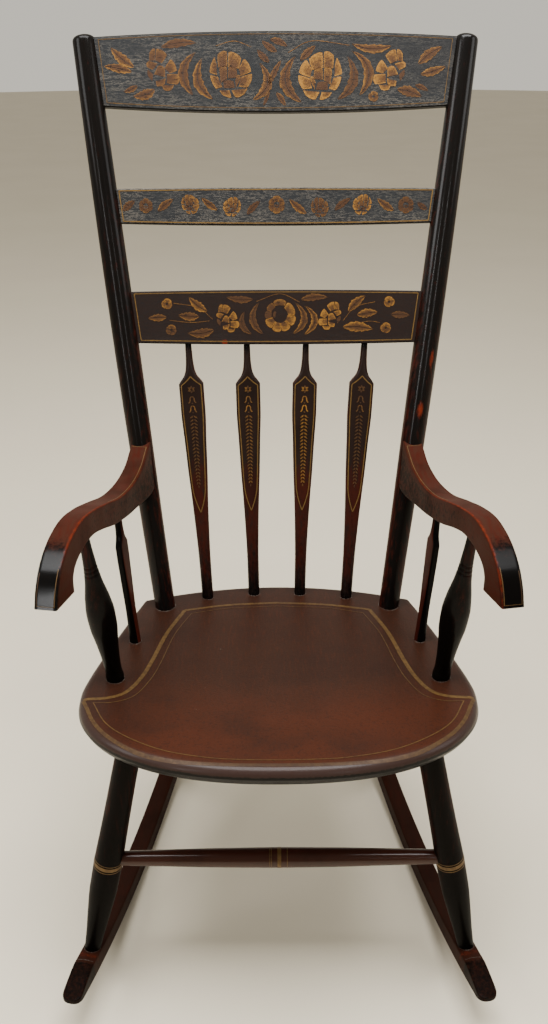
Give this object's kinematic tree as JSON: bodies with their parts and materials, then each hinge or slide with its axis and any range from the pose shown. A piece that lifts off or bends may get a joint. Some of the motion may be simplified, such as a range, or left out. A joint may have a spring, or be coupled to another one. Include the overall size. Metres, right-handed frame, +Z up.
{
  "type": "boston rocking chair",
  "caption": "Painted wooden rocking chair with a plank seat, raked back of bowed slats and arrow spindles, scrolled arms and turned legs on curved rockers.",
  "frame": {"origin": "on the floor, under the middle of the chair's bounding box", "axes": "+X to the viewer's right as the chair faces the viewer, +Y towards the back, +Z up"},
  "size_m": [0.5416, 0.7652, 1.1221],
  "materials": {
    "black_paint": "black-brown paint over red, aged satin varnish, gold stencils and lines",
    "red_brown_paint": "dark red-brown paint worn to orange-red on the ridges, aged satin varnish",
    "seat_paint": "red-brown paint with darker clouds under aged satin varnish, gold lines"
  },
  "bodies": {
    "root": {"seat_plank": "seat_paint", "left_back_post": "black_paint", "right_back_post": "black_paint", "lower_slat": "black_paint", "middle_slat": "black_paint", "crest_rail": "black_paint", "back_spindle_1": "black_paint", "back_spindle_2": "black_paint", "back_spindle_3": "black_paint", "back_spindle_4": "black_paint", "left_arm": "red_brown_paint", "left_arm_post": "black_paint", "left_arm_spindle": "black_paint", "left_arm_dowel": "black_paint", "left_crest_pin": "black_paint", "right_arm": "red_brown_paint", "right_arm_post": "black_paint", "right_arm_spindle": "black_paint", "right_arm_dowel": "black_paint", "right_crest_pin": "black_paint", "left_rocker": "red_brown_paint", "right_rocker": "red_brown_paint", "front_left_leg": "black_paint", "front_right_leg": "black_paint", "front_stretcher": "red_brown_paint", "rear_left_leg": "black_paint", "rear_right_leg": "black_paint", "rear_stretcher": "red_brown_paint"}
  },
  "joints": []
}
